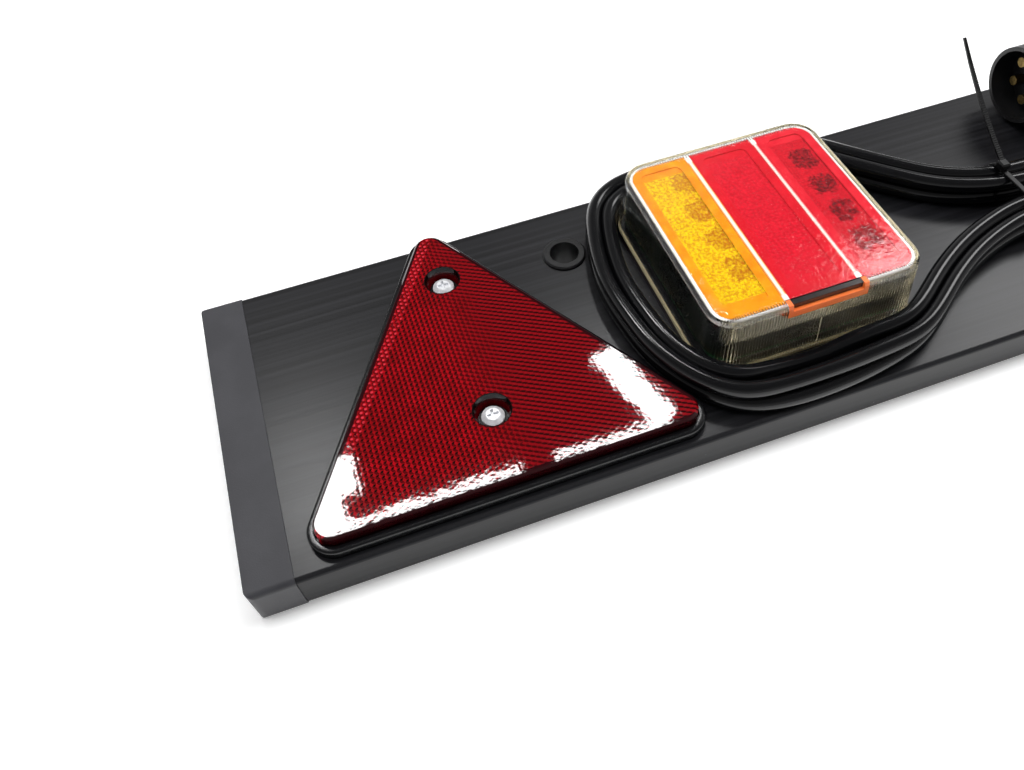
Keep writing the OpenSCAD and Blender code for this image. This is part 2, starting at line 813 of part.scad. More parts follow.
module inner_loom_left() {
    color([0.06, 0.06, 0.07]) loom(-board_l / 2 + lamp_x, gland_x - loom_d * 0.75);
}

module inner_loom_right() {
    color([0.06, 0.06, 0.07]) loom(board_l / 2 - lamp_x, gland_x + loom_d * 0.75);
}

// Elbow gland: spigot, flange and dome, and a ringed strain relief that points along the board
module cable_gland() {
    spigot_l = face_z - loom_z - loom_bend_r - spigot_rise;
    axis_h = gland_axis_z - face_z;
    ring_count = 5;
    ring_t = 2;
    first_ring = gland_flange_d / 2 + 1;
    ring_pitch = (gland_relief_l - 3 - ring_t - first_ring) / (ring_count - 1);
    color([0.05, 0.05, 0.05])
    translate([gland_x, gland_y, face_z]) {
        rotate_extrude()
            polygon([
                [0, -spigot_l], [gland_spigot_r, -spigot_l], [gland_spigot_r, 0], [gland_flange_d / 2, 0],
                [gland_flange_d / 2, 1.8], [gland_dome_r, 3.6], [gland_dome_r, axis_h + 1],
                [gland_dome_r * 0.87, axis_h + gland_dome_r * 0.5],
                [gland_dome_r * 0.5, axis_h + gland_dome_r * 0.87],
                [gland_dome_r * 0.2, axis_h + gland_dome_r], [0, axis_h + gland_dome_r]
            ]);
        translate([0, 0, axis_h]) rotate([0, -90, 0])
            rotate_extrude()
                polygon(concat(
                    [[0, 0], [relief_r(0), 0]],
                    [
                        for (i = [0 : ring_count - 1], p = [[0, 0], [0, 1], [ring_t, 1], [ring_t, 0]])
                            let (along = first_ring + i * ring_pitch + p[0])
                            [relief_r(along) + p[1], along]
                    ],
                    [[relief_r(gland_relief_l), gland_relief_l], [0, gland_relief_l]]
                ));
    }
}

// Radius of the strain relief at a distance from the gland's middle
function relief_r(along) = 7 - (7 - cable_d / 2 - 1.2) * along / gland_relief_l;

module supply_cable() {
    color([0.06, 0.06, 0.07]) tube(supply_route, cable_d, 10, 2);
}

module plug_lead() {
    color([0.06, 0.06, 0.07]) tube(plug_route, cable_d, 10, 2);
}

// Body of the hank's turns, with the two loops open and a waist for the tie
module cable_hank() {
    color([0.07, 0.07, 0.08])
    difference() {
        union() {
            translate([0, 0, face_z]) linear_extrude(hank_h)
                difference() {
                    polygon(hank_edge(0, len(hank_line), 1));
                    polygon(hank_edge(lamp_loop[0], lamp_loop[1], -1));
                    polygon(hank_edge(free_loop[0], free_loop[1], -1));
                }
            translate(turn_out - [0, cable_d / 2, cable_d / 2]) cube([stub_out_l, cable_d, cable_d]);
            translate(turn_in - [0, cable_d / 2, cable_d / 2]) cube([stub_in_l, cable_d, cable_d]);
        }
        tie_waist();
    }
}

// Section of the tie's band, grown by a margin outside and inside
module tie_section(outside, inside) {
    w = tie_high_y - tie_low_y;
    difference() {
        rounded_rect(w + 2 * outside, hank_h + 2 * outside, 3 + outside);
        rounded_rect(w - 2 * tie_t - 2 * inside, hank_h - 2 * tie_t - 2 * inside, 2);
    }
}

// What the tie presses into the hank
module tie_waist() {
    translate([tie_x, (tie_low_y + tie_high_y) / 2, face_z + hank_h / 2])
        along_x(tie_w + 2 * tie_play) tie_section(10, tie_play);
}

module cable_tie() {
    head_y = tie_high_y - 4 - tie_head[1];
    color([0.05, 0.05, 0.06]) {
        translate([tie_x, (tie_low_y + tie_high_y) / 2, face_z + hank_h / 2])
            along_x(tie_w) tie_section(0, 0);
        translate([tie_x - tie_w / 2, head_y, tie_top - tie_t / 2]) cube([tie_w, tie_head[1], tie_t]);
        translate([tie_x - tie_head[0] / 2, head_y, tie_top + tie_play]) cube(tie_head);
        translate([tie_x - tie_w / 2, head_y + tie_head[1] / 2, tie_top + tie_head[2] / 2])
            rotate([tie_tail_angle, 0, 0]) {
                cube([tie_w, tie_tail_l - tie_tip_l, tie_t]);
                translate([tie_w * 0.2, 0, 0]) cube([tie_w * 0.6, tie_tail_l, tie_t]);
            }
    }
}

// Plug

// Turned form along X, from a mouth at the left to the cable at the right
module turned(x) {
    translate([x, plug_y, plug_z]) rotate([0, 90, 0]) rotate_extrude() children();
}

module plug_body() {
    r = plug_d / 2;
    sleeve_r = plug_sleeve_d / 2;
    l = plug_sleeve_l + plug_grip_l + plug_cone_l;
    grip_end = plug_sleeve_l + plug_grip_l;
    rib_count = 16;
    color([0.05, 0.05, 0.06]) {
        difference() {
            turned(plug_mouth_x)
                polygon([
                    [0, 0], [sleeve_r, 0], [sleeve_r, plug_sleeve_l - 5], [r, plug_sleeve_l - 4],
                    [r, plug_sleeve_l + 2], [r - 2, plug_sleeve_l + 4], [r - 1.5, grip_end - 4],
                    [r - 3, grip_end], [plug_nut_d / 2, l], [0, l]
                ]);
            turned(plug_mouth_x)
                translate([0, -1]) square([sleeve_r - plug_sleeve_wall, plug_sleeve_l + 1]);
            turned(plug_mouth_x + plug_sleeve_l - 0.01)
                square([sleeve_r - 5, plug_grip_l - 6]);
        }
        translate([plug_sleeve_x + 5, plug_y, plug_z])
            for (i = [0 : rib_count - 1])
                rotate([360 / rib_count * (i + 0.5), 0, 0]) translate([0, -1, r - 4])
                    cube([plug_grip_l - 10, 2, 3.4]);
        translate([plug_mouth_x + 4, plug_y - 3, plug_z + sleeve_r - 1]) cube([8, 6, 3]);
    }
}

module plug_nut() {
    flute_count = 12;
    color([0.05, 0.05, 0.06])
    difference() {
        turned(plug_cone_x)
            polygon([
                [cable_d / 2 + 0.1, 0], [plug_nut_d / 2, 0], [plug_nut_d / 2, plug_nut_l - 7],
                [plug_nut_d / 2 - 2, plug_nut_l - 2], [cable_d / 2 + 2, plug_nut_l],
                [cable_d / 2 + 0.1, plug_nut_l]
            ]);
        translate([plug_cone_x + 2, plug_y, plug_z])
            for (i = [0 : flute_count - 1])
                rotate([360 / flute_count * i, 0, 0])
                    translate([0, 0, plug_nut_d / 2 + 0.8]) rotate([0, 90, 0]) cylinder(r = 1.6, h = plug_nut_l);
    }
}

// Places a child at each of the seven pins
module at_pins() {
    translate([0, plug_y, plug_z]) {
        children();
        for (i = [0 : 5])
            rotate([60 * i, 0, 0]) translate([0, 0, pin_circle_r]) children();
    }
}

module plug_insert() {
    color([0.12, 0.12, 0.13])
    difference() {
        turned(plug_sleeve_x - insert_t)
            square([plug_sleeve_d / 2 - plug_sleeve_wall - 0.1, insert_t]);
        translate([plug_sleeve_x - insert_t - 1, 0, 0])
            at_pins() rotate([0, 90, 0]) cylinder(r = pin_d / 2 + 0.05, h = insert_t + 2);
    }
}

module plug_pins() {
    color([0.8, 0.68, 0.35])
    translate([plug_sleeve_x - insert_t - 5, 0, 0])
        at_pins() rotate([0, 90, 0]) cylinder(r = pin_d / 2, h = insert_t + 5);
}

board_extrusion();
at_end(-1) end_cap();  // end_cap_left
at_end(1) end_cap();  // end_cap_right
at_end(-1) mount_bush();  // mount_bush_left
at_end(1) mount_bush();  // mount_bush_right
at_end(-1) reflector_tray();  // reflector_tray_left
at_end(1) reflector_tray();  // reflector_tray_right
at_end(-1) reflector_lens();  // reflector_lens_left
at_end(1) reflector_lens();  // reflector_lens_right
reflector_screws();
at_end(-1) lamp_base();  // lamp_base_left
at_end(1) lamp_base();  // lamp_base_right
at_end(-1) lamp_seal();  // lamp_seal_left
at_end(1) lamp_seal();  // lamp_seal_right
at_end(-1) lamp_shell();  // lamp_shell_left
at_end(1) lamp_shell();  // lamp_shell_right
at_end(-1) lamp_frame();  // lamp_frame_left
at_end(1) lamp_frame();  // lamp_frame_right
at_end(-1) amber_filter();  // amber_filter_left
at_end(1) amber_filter();  // amber_filter_right
at_end(-1) reflex_filter();  // reflex_filter_left
at_end(1) reflex_filter();  // reflex_filter_right
at_end(-1) stop_filter();  // stop_filter_left
at_end(1) stop_filter();  // stop_filter_right
at_end(-1) lamp_reflector();  // lamp_reflector_left
at_end(1) lamp_reflector();  // lamp_reflector_right
at_end(-1) led_board();  // led_board_left
at_end(1) led_board();  // led_board_right
at_end(-1) leds();  // leds_left
at_end(1) leds();  // leds_right
at_end(-1) plate_frame();  // plate_frame_left
at_end(1) plate_frame();  // plate_frame_right
at_end(-1) plate_pane();  // plate_pane_left
at_end(1) plate_pane();  // plate_pane_right
lamp_bolts();
lamp_nuts();
lamp_grommets();
inner_loom_left();
inner_loom_right();
cable_gland();
supply_cable();
cable_hank();
plug_lead();
cable_tie();
plug_body();
plug_nut();
plug_insert();
plug_pins();
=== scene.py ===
"""Looks of the trailer light bar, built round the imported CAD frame. Metres, in the row frame."""

import math

import bmesh
import bpy
from mathutils import Matrix, Vector


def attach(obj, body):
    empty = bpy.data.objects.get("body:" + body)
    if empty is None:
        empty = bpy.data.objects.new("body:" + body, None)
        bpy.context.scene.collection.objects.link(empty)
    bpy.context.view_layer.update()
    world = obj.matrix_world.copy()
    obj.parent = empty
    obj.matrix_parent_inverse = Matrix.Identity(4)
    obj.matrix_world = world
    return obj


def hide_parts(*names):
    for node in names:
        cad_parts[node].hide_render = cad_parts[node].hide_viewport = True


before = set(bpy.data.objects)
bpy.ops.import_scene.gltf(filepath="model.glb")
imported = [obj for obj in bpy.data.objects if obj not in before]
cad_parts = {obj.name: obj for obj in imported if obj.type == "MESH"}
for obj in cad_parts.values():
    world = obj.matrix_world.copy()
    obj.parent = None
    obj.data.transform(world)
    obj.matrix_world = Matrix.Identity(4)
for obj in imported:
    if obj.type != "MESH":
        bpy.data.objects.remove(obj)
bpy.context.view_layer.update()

MM = 0.001


# Camera

def make_camera():
    """Camera whose place, turn and lens were solved from the photograph's straight edges."""
    right = Vector((0.94112, -0.33498, -0.04567)).normalized()
    ahead = Vector((0.16818, 0.58105, -0.7963))
    ahead = (ahead - ahead.dot(right) * right).normalized()
    up = right.cross(ahead)
    data = bpy.data.cameras.new("camera")
    data.lens = 30.42
    data.sensor_width = 36
    data.shift_x = -0.0292
    data.shift_y = -0.0310
    data.clip_start = 0.02
    camera = bpy.data.objects.new("camera", data)
    bpy.context.collection.objects.link(camera)
    axes = Matrix((right, up, -ahead)).transposed().to_4x4()
    camera.matrix_world = Matrix.Translation((-0.53358, -0.22973, 0.32469)) @ axes
    bpy.context.scene.camera = camera


# Cable: the supply route, four turns of the hank and the route to the plug, in millimetres

FACE = 20.5              # height at which the cable and the lamps stand on the board
CABLE_D = 7.5
LANE = CABLE_D / 2
SUPPLY_ROUTE = [
    (4, -36.5, 28.3), (-3, -36.5, 28.3), (-10, -37.1, 28), (-18, -39.4, 27), (-26, -43.4, 25.8),
    (-33, -48, 24.9), (-40, -53.2, 24.4), (-46, -57.4, 24.3), (-52.5, -60.4, 24.25),
    (-60.5, -61.75, 24.25), (-70, -62, 24.25),
]
PLUG_ROUTE = [
    (-70, 1.9, 31.75), (-61, 1.8, 31.75), (-53.5, 0.9, 31.4), (-46, -1.2, 30.8), (-37.3, -3.8, 29.8),
    (-27.9, -3.6, 28.6), (-19, -0.6, 27.4), (-11.5, 5.1, 26.2), (-6.1, 12.7, 25.2), (-3.4, 21.7, 24.6),
    (-3.6, 31.1, 24.4), (-6.6, 40, 24.6), (-12.3, 47.5, 25.2), (-19.9, 52.9, 26.4),
    (-28.9, 55.6, 28.2), (-38.3, 55.4, 30.4),
    (-46.1, 53, 32.6), (-52.4, 50.8, 34.5), (-59, 50, 36.5), (-70, 50, 39.4), (-82, 50, 41.2),
    (-95, 50, 41.5), (-105, 50, 41.5), (-115, 50, 41.5),
]
# The closed line that the hank's turns follow: x, y and the bundle's width there.
HANK_LINE = [
    (-52, -30, 15), (-60, -10.5, 15), (-80, -2, 15), (-115, -1, 15), (-155, 1, 15), (-195, 2, 15),
    (-230, 2, 15), (-254, 12, 15), (-271, 26, 15), (-288.5, 43.5, 15), (-304.5, 60, 15),
    (-314.5, 65.8, 15), (-328, 67.5, 15), (-345, 67.5, 15), (-368, 67.5, 15), (-390, 67.4, 15),
    (-404.5, 65, 14.5), (-415.5, 56, 14), (-421, 42, 14.5), (-425, 26, 15), (-427, 8, 15),
    (-425.5, -12, 15), (-422.5, -30, 14.5), (-413.7, -48.8, 13.6), (-401, -60.5, 17), (-384, -62.8, 22),
    (-361, -63, 22.5), (-340, -62, 20), (-319, -59.8, 15.5), (-304, -51.5, 15), (-289, -41, 15),
    (-270, -30.5, 15), (-250, -23.5, 15), (-230, -20.5, 15), (-195, -24, 15), (-155, -38, 15),
    (-115, -53, 15), (-80, -58, 15), (-60, -49.5, 15),
]
LANE_PLACES = range(37, 1, -1)                    # places on the line where a turn keeps its lane
FREE_END_PLACES = (1.2, 0.6, 0, -0.6, -1.2)       # and those where it moves to the next one
ROLL_START, ROLL_SPAN = 1.6, 3

TIE_X = -230
TIE_LIFT = 1.2           # height that the turns rise where the tie passes under them
TIE_LIFT_REACH = 28


def third_order(a, b, c, d, t):
    """Point between b and c of the smooth curve through four points."""
    return 0.5 * (2 * b + (c - a) * t + (2 * a - 5 * b + 4 * c - d) * t * t
                  + (3 * b - a - 3 * c + d) * t ** 3)


def hank_at(s):
    """Place, outward direction and width of the hank line at s, which may lie between two points."""
    count = len(HANK_LINE)
    first = math.floor(s)
    near = [Vector(HANK_LINE[(first + i) % count]) for i in (-1, 0, 1, 2)]
    here = third_order(*near, s - first)
    along = third_order(*near, s - first + 0.05) - third_order(*near, s - first - 0.05)
    out = Vector((along.y, -along.x)).normalized()
    return here, out, here.z


def tie_lift(x):
    return TIE_LIFT * (0.5 + 0.5 * math.cos(math.pi * min(1, abs(x - TIE_X) / TIE_LIFT_REACH)))


def lane(turn, s):
    """A turn's point beside the hank line: the two lower lanes, then the two upper ones."""
    here, out, width = hank_at(s)
    spread = max(0, (width - 2 * CABLE_D) / CABLE_D)
    half = min(LANE, width / 4)
    over = CABLE_D * math.sqrt(max(0, 1 - spread ** 2))
    above = math.sqrt(CABLE_D ** 2 - (LANE * spread) ** 2)
    aside, height = [
        (half + LANE * spread, 0),
        (-half + LANE * spread, 0),
        (-half - LANE * spread, over),
        (half, above),
    ][turn]
    return Vector((here.x + out.x * aside, here.y + out.y * aside,
                   FACE + LANE + height + tie_lift(here.x)))


def free_end(turn, s):
    """A turn's point at the free end, where the bundle rolls by a quarter and the lanes change."""
    here, out, _ = hank_at(s)
    t = min(1, max(0, (ROLL_START - s) / ROLL_SPAN))
    rolled = 90 * t * t * (3 - 2 * t)
    angle = math.radians(-45 - 90 * turn - rolled)
    reach = LANE * math.sqrt(2)
    lift = reach * math.cos(math.radians(45 - rolled)) - LANE
    aside = reach * math.cos(angle)
    return Vector((here.x + out.x * aside, here.y + out.y * aside,
                   FACE + CABLE_D + lift + reach * math.sin(angle)))


def cable_points():
    points = [Vector(p) for p in SUPPLY_ROUTE]
    for turn in range(4):
        points += [lane(turn, s) for s in LANE_PLACES]
        if turn < 3:
            points += [free_end(turn, s) for s in FREE_END_PLACES]
    return points + [Vector(p) for p in PLUG_ROUTE]


def span_at(points, i):
    """The four points round the stretch from point i to the next one, as third_order takes them."""
    last = len(points) - 1
    return points[max(i - 1, 0)], points[i], points[i + 1], points[min(i + 2, last)]


FINE_STEPS = 16
EASE_STEP = 4
EASE_SPREAD = 6


def eased(points):
    """The same route without kinks: in even steps, each point at the weighted mean of its near ones."""
    fine = []
    for i in range(len(points) - 1):
        span = span_at(points, i)
        fine += [third_order(*span, k / FINE_STEPS) for k in range(FINE_STEPS)]
    fine.append(points[-1])
    at = [0]
    for a, b in zip(fine, fine[1:]):
        at.append(at[-1] + (b - a).length)
    count = round(at[-1] / EASE_STEP)
    even, k = [], 0
    for i in range(count + 1):
        s = at[-1] * i / count
        while k < len(at) - 2 and at[k + 1] < s:
            k += 1
        even.append(fine[k].lerp(fine[k + 1], (s - at[k]) / (at[k + 1] - at[k])))
    reach = round(3 * EASE_SPREAD / EASE_STEP)
    route = []
    for i, here in enumerate(even):
        total, share = here.copy(), 1
        for j in range(1, min(reach, i, count - i) + 1):
            weight = math.exp(-0.5 * (j * EASE_STEP / EASE_SPREAD) ** 2)
            total += (even[i - j] + even[i + j]) * weight
            share += 2 * weight
        route.append(total / share)
    return route


def smooth_curve(name, points, radius, sides, steps):
    """Round tube along the smooth curve through the points, given in millimetres."""
    data = bpy.data.curves.new(name, "CURVE")
    data.dimensions = "3D"
    data.bevel_depth = radius * MM
    data.bevel_resolution = sides
    data.resolution_u = steps
    data.use_fill_caps = True
    spline = data.splines.new("BEZIER")
    spline.bezier_points.add(len(points) - 1)
    for i, p in enumerate(points):
        before = points[max(i - 1, 0)]
        after = points[min(i + 1, len(points) - 1)]
        lean = (after - before) / 6
        b = spline.bezier_points[i]
        b.handle_left_type = b.handle_right_type = "FREE"
        b.co = p * MM
        b.handle_left = (p - lean) * MM
        b.handle_right = (p + lean) * MM
    obj = bpy.data.objects.new(name, data)
    bpy.context.collection.objects.link(obj)
    return obj


def curve_length(points):
    total = 0
    for i in range(len(points) - 1):
        span = span_at(points, i)
        steps = [third_order(*span, k / 8) for k in range(9)]
        total += sum((b - a).length for a, b in zip(steps, steps[1:]))
    return total


# Meshes

def mesh_object(name, verts, faces, smooth=False):
    """Mesh from points in millimetres."""
    mesh = bpy.data.meshes.new(name)
    mesh.from_pydata([Vector(v) * MM for v in verts], [], faces)
    mesh.update()
    if smooth:
        mesh.polygons.foreach_set("use_smooth", [True] * len(mesh.polygons))
    obj = bpy.data.objects.new(name, mesh)
    bpy.context.collection.objects.link(obj)
    return obj


def skin(rings, closed=False):
    """Faces between rings with equally many points. An open row of rings gets end faces."""
    n, m = len(rings), len(rings[0])
    verts = [v for ring in rings for v in ring]
    faces = []
    for i in range(n if closed else n - 1):
        a, b = i * m, (i + 1) % n * m
        faces += [(a + k, a + (k + 1) % m, b + (k + 1) % m, b + k) for k in range(m)]
    if not closed:
        faces += [tuple(range(m))[::-1], tuple((n - 1) * m + k for k in range(m))]
    return verts, faces


def joined(name, parts):
    verts, faces = [], []
    for part_verts, part_faces in parts:
        start = len(verts)
        verts += part_verts
        faces += [tuple(start + i for i in face) for face in part_faces]
    return mesh_object(name, verts, faces)


QUARTERS = ((1, 1, 0), (-1, 1, 90), (-1, -1, 180), (1, -1, 270))     # side in x, side in y, first angle

TIE_W = 2.6
TIE_T = 1.0
TIE_LOW_Y, TIE_HIGH_Y = -29.1, 10.6
TIE_TOP = FACE + 2 * CABLE_D + 2 * TIE_T + 0.3
TIE_HEAD_Y = 3.6


def tie_band():
    """Closed band round both sides of the hank, with a soft outer edge."""
    bend, half, soft = 4.5, TIE_W / 2, 0.25
    rings = []
    for cy, cz, start in QUARTERS:
        y = TIE_HIGH_Y - bend if cy > 0 else TIE_LOW_Y + bend
        z = TIE_TOP - bend if cz > 0 else FACE + bend
        for k in range(9):
            a = math.radians(start + 90 * k / 8)
            ny, nz = math.cos(a), math.sin(a)
            outer = (y + bend * ny, z + bend * nz)
            edge = (outer[0] - ny * soft, outer[1] - nz * soft)
            inner = (outer[0] - ny * TIE_T, outer[1] - nz * TIE_T)
            rings.append([
                (TIE_X - half, *edge), (TIE_X - half + soft, *outer),
                (TIE_X + half - soft, *outer), (TIE_X + half, *edge),
                (TIE_X + half, *inner), (TIE_X - half, *inner),
            ])
    return skin(rings, closed=True)


def tie_head():
    """Block with round corners and a soft top, on the band."""
    width, depth, height, corner, sunk = 4.6, 5, 3.6, 0.8, 0.05
    rings = []
    for z, inset in ((0, 0.5), (0.4, 0), (height - 0.7, 0), (height, 0.7)):
        ring = []
        for cx, cy, start in QUARTERS:
            for k in range(4):
                a = math.radians(start + 30 * k)
                ring.append((TIE_X + cx * (width / 2 - corner) + (corner - inset) * math.cos(a),
                             TIE_HEAD_Y + cy * (depth / 2 - corner) + (corner - inset) * math.sin(a),
                             TIE_TOP + z - sunk))
        rings.append(ring)
    return skin(rings)


def tie_tail():
    """Ribbed tail that leaves the head at its slope and steepens. It narrows to a plain tip."""
    start = Vector((TIE_X, TIE_HEAD_Y + 0.5, TIE_TOP + 1.8))
    length, steps, slope, steepens = 63, 114, 30, 13
    tip_from, tip_narrows, groove, narrows = 0.8, 0.2, 0.85, 0.35
    rings = []
    for i in range(steps + 1):
        t = i / steps
        angle = math.radians(slope + steepens * t)
        bow = math.radians(slope + steepens / 2 * t)
        here = start + Vector((0, math.cos(bow), math.sin(bow))) * length * t
        normal = Vector((0, -math.sin(angle), math.cos(angle)))
        half = TIE_W / 2 * (1 - narrows * t)
        if t > tip_from:
            half *= 1 - tip_narrows * (t - tip_from) / (1 - tip_from)
        up = normal * TIE_T * (groove if i % 2 or t > tip_from else 1)
        left, right = here + Vector((-half, 0, 0)), here + Vector((half, 0, 0))
        rings.append([left, right, right + up, left + up])
    return skin(rings)


def make_tie():
    """Ribbed tie: a band round both sides of the hank, a head, and a tail that stands up."""
    return joined("tie", [tie_band(), tie_head(), tie_tail()])


LAMP_X, LAMP_Y = 358.7, 4.2
LAMP_H, LAMP_W, LAMP_D, LAMP_CORNER, LAMP_FLARE = 34, 98, 104, 12, 2.5
CORNER_X = LAMP_W / 2 - LAMP_CORNER          # where the lamp's round corners start, from its middle
CORNER_Y = LAMP_D / 2 - LAMP_CORNER
SHELL_EDGE = 2.6


def round_ring(w, d, r, z, steps=10):
    """Points round a rectangle with round corners."""
    ring = []
    for cx, cy, start in QUARTERS:
        for k in range(steps + 1):
            a = math.radians(start + 90 * k / steps)
            ring.append((cx * (w / 2 - r) + r * math.cos(a), cy * (d / 2 - r) + r * math.sin(a), z))
    return ring


def make_shell(name, side):
    """Clear shell with a soft upper edge and the notch of the number-plate window."""
    wall, inner_top, foot_z, foot_h = 2.2, 31.95, 4.7, 0.5
    foot = (LAMP_W + 2 * LAMP_FLARE, LAMP_D + 2 * LAMP_FLARE, LAMP_CORNER + LAMP_FLARE)
    rings = [
        round_ring(LAMP_W - 2 * wall, LAMP_D - 2 * wall, LAMP_CORNER - wall, inner_top),
        round_ring(foot[0] - 2 * wall, foot[1] - 2 * wall, foot[2] - wall, foot_z),
        round_ring(*foot, foot_z),
        round_ring(*foot, foot_z + foot_h),
    ]
    for k in range(9):
        a = math.pi / 2 * k / 8
        inset = SHELL_EDGE * (1 - math.cos(a))
        rings.append(round_ring(LAMP_W - 2 * inset, LAMP_D - 2 * inset, LAMP_CORNER - inset,
                                LAMP_H - SHELL_EDGE + SHELL_EDGE * math.sin(a)))
    verts, faces = skin(rings)
    notch_x0, notch_x1, notch_y, notch_z = -17.25, 19.75, -LAMP_D / 2 + 4.2, LAMP_H - 6.5
    outside = -60
    cut_verts = [(x, y, z) for z in (notch_z, LAMP_H + 2) for x, y in
                 ((notch_x0, outside), (notch_x1, outside), (notch_x1, notch_y), (notch_x0, notch_y))]
    cut_faces = [(3, 2, 1, 0), (4, 5, 6, 7)]
    cut_faces += [(i, (i + 1) % 4, (i + 1) % 4 + 4, i + 4) for i in range(4)]

    def placed(points):
        return [(side * (LAMP_X - x), y + LAMP_Y, z + FACE) for x, y, z in points]

    shell = mesh_object(name, placed(verts), faces, smooth=True)
    cutter = mesh_object(name + "_cutter", placed(cut_verts), cut_faces)
    for obj in (shell, cutter):
        form = bmesh.new()
        form.from_mesh(obj.data)
        bmesh.ops.recalc_face_normals(form, faces=form.faces)
        form.to_mesh(obj.data)
        form.free()
    notch = shell.modifiers.new("notch", "BOOLEAN")
    notch.operation, notch.object, notch.solver = "DIFFERENCE", cutter, "EXACT"
    finished = shell.evaluated_get(bpy.context.evaluated_depsgraph_get())
    cut = bpy.data.meshes.new_from_object(finished)
    shell.modifiers.clear()
    shell.data = cut
    bpy.data.objects.remove(cutter)
    shell.data.set_sharp_from_angle(angle=math.radians(40))
    return shell


REFLECTOR_X, REFLECTOR_Y = 500, -18.8        # middle of the triangle
REFLECTOR_CORNER = 7.5                       # radius of its corners, and how far out they lie
REFLECTOR_CORNER_AT = 83.15
TRAY_H, TRAY_FLOOR = 4.6, 2
TRAY_PLAY, TRAY_RIM = 0.3, 3.2               # gap round the lens and width of the rim
SCREW_YS = (60.8, -15.6)                     # screws, from the middle
SEAT_H, SEAT_R = 1.6, 6.2                    # seats of the screws


def triangle_ring(grow, z, steps=12):
    """Points round the triangle's outline, grown by a distance."""
    ring = []
    r = REFLECTOR_CORNER + grow
    for middle in (90, 210, 330):
        x = REFLECTOR_CORNER_AT * math.cos(math.radians(middle))
        y = REFLECTOR_CORNER_AT * math.sin(math.radians(middle))
        for k in range(steps + 1):
            a = math.radians(middle - 60 + 120 * k / steps)
            ring.append((x + r * math.cos(a), y + r * math.sin(a), z))
    return ring


def make_tray(name, side):
    """Backing tray of the triangle, with a soft rim and the two seats for its screws."""
    outside, outer_soft, inner_soft, steps = TRAY_PLAY + TRAY_RIM, 1.1, 0.5, 6
    rings = [triangle_ring(outside, 0)]
    for k in range(steps + 1):
        a = math.pi / 2 * k / steps
        rings.append(triangle_ring(outside - outer_soft * (1 - math.cos(a)),
                                   TRAY_H - outer_soft * (1 - math.sin(a))))
    for k in range(steps + 1):
        a = math.pi / 2 * (1 - k / steps)
        rings.append(triangle_ring(TRAY_PLAY + inner_soft * (1 - math.cos(a)),
                                   TRAY_H - inner_soft * (1 - math.sin(a))))
    rings.append(triangle_ring(TRAY_PLAY, TRAY_FLOOR))
    parts = [skin(rings)]
    circle = [math.radians(360 * k / 32) for k in range(32)]
    for screw_y in SCREW_YS:
        parts.append(skin([[(SEAT_R * math.cos(a), screw_y + SEAT_R * math.sin(a), z) for a in circle]
                           for z in (TRAY_FLOOR / 2, TRAY_FLOOR + SEAT_H)]))
    for verts, _ in parts:
        verts[:] = [(side * REFLECTOR_X + x, REFLECTOR_Y + y, FACE + z) for x, y, z in verts]
    tray = joined(name, parts)
    tray.data.polygons.foreach_set("use_smooth", [True] * len(tray.data.polygons))
    tray.data.set_sharp_from_angle(angle=math.radians(40))
    return tray


# Materials

def srgb(r, g, b):
    """A colour given as it shows on screen, from 0 to 255."""
    linear = [c / 255 / 12.92 if c <= 10 else ((c / 255 + 0.055) / 1.055) ** 2.4 for c in (r, g, b)]
    return (*linear, 1)


class Value:
    """A number that a material's nodes work out."""

    def __init__(self, look, socket):
        self.look, self.socket = look, socket

    def __add__(self, other): return self.look.math("ADD", self, other)
    def __sub__(self, other): return self.look.math("SUBTRACT", self, other)
    def __rsub__(self, other): return self.look.math("SUBTRACT", other, self)
    def __mul__(self, other): return self.look.math("MULTIPLY", self, other)
    def __truediv__(self, other): return self.look.math("DIVIDE", self, other)
    def least(self, other): return self.look.math("MINIMUM", self, other)
    def most(self, other): return self.look.math("MAXIMUM", self, other)
    def over(self, other): return self.look.math("GREATER_THAN", self, other)
    def under(self, other): return self.look.math("LESS_THAN", self, other)
    def size(self): return self.look.math("ABSOLUTE", self, 0)
    def root(self): return self.look.math("SQRT", self, 0)
    def part(self): return self.look.math("FRACT", self, 0)
    def sine(self): return self.look.math("SINE", self, 0)
    def power(self, other): return self.look.math("POWER", self, other)
    def wrap(self, span): return self.look.math("FLOORED_MODULO", self, span)

    def step(self, low, high):
        """0 below low, 1 above high and smooth between. With low above high it falls instead."""
        node = self.look.node("MapRange", interpolation_type="SMOOTHSTEP", clamp=True)
        self.look.feed(node.inputs["Value"], self)
        node.inputs["From Min"].default_value = min(low, high)
        node.inputs["From Max"].default_value = max(low, high)
        node.inputs["To Min"].default_value = 0 if low < high else 1
        node.inputs["To Max"].default_value = 1 if low < high else 0
        return Value(self.look, node.outputs["Result"])


def socket_name(key):
    return key.replace("_", " ").title().replace("Ior", "IOR")


